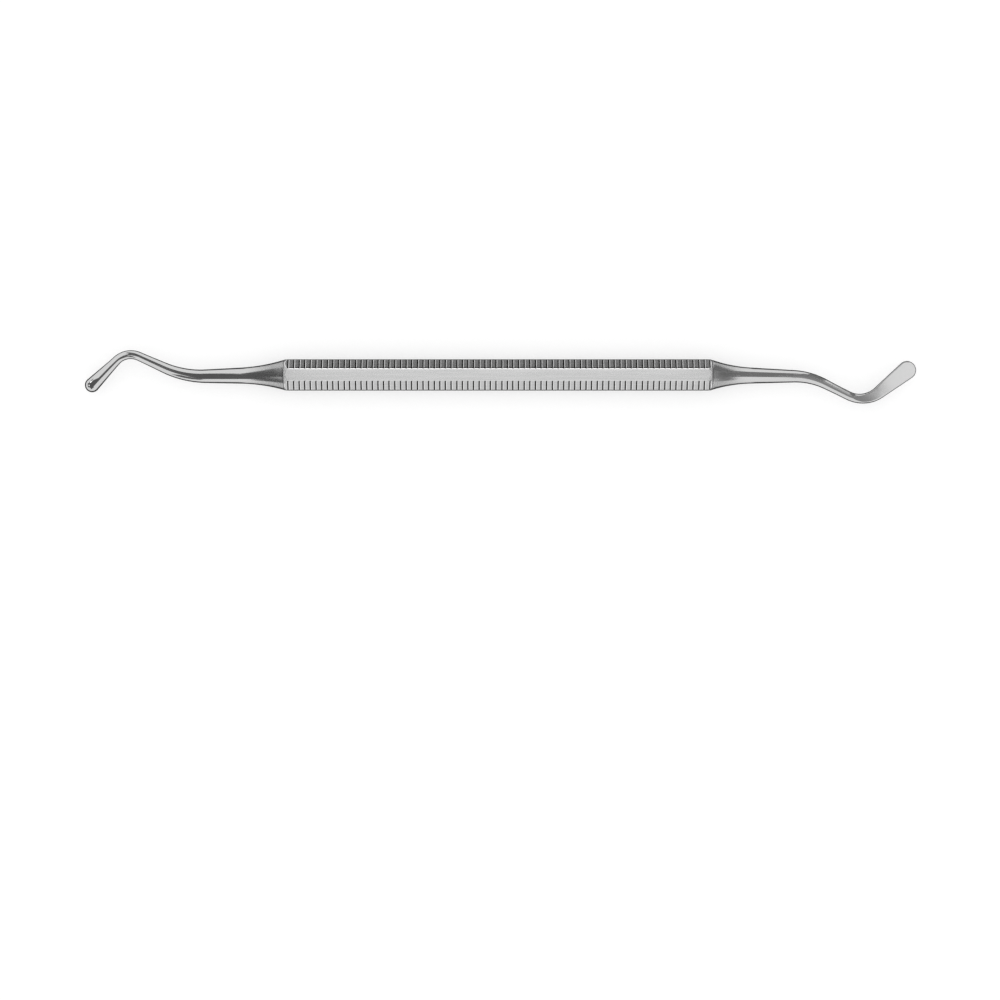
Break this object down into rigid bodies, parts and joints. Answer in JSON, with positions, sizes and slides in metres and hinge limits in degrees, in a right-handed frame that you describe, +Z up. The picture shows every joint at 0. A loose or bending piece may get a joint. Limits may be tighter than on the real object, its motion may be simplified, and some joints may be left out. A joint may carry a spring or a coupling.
{
  "type": "double-ended dental filling instrument",
  "caption": "Slim stainless dental hand instrument: grooved octagonal handle with an angled ball-nosed plugger at one end and an angled flat paddle at the other.",
  "frame": {"origin": "middle of the handle's underside flat, on the surface that the instrument lies on", "axes": "+X along the handle towards the paddle end, +Y across it on the side that the plugger end's first bend rises to, +Z up, square to the plane of the bends"},
  "size_m": [0.1702, 0.011, 0.0063],
  "materials": {
    "handle_steel": "satin stainless bar, fine lengthwise grain, sawn cross grooves",
    "plugger_steel": "polished stainless shank, matte-ground flare",
    "paddle_steel": "polished stainless shank, satin-ground blade flats"
  },
  "bodies": {
    "root": {"handle": "handle_steel", "plugger_end": "plugger_steel", "paddle_end": "paddle_steel"}
  },
  "joints": []
}
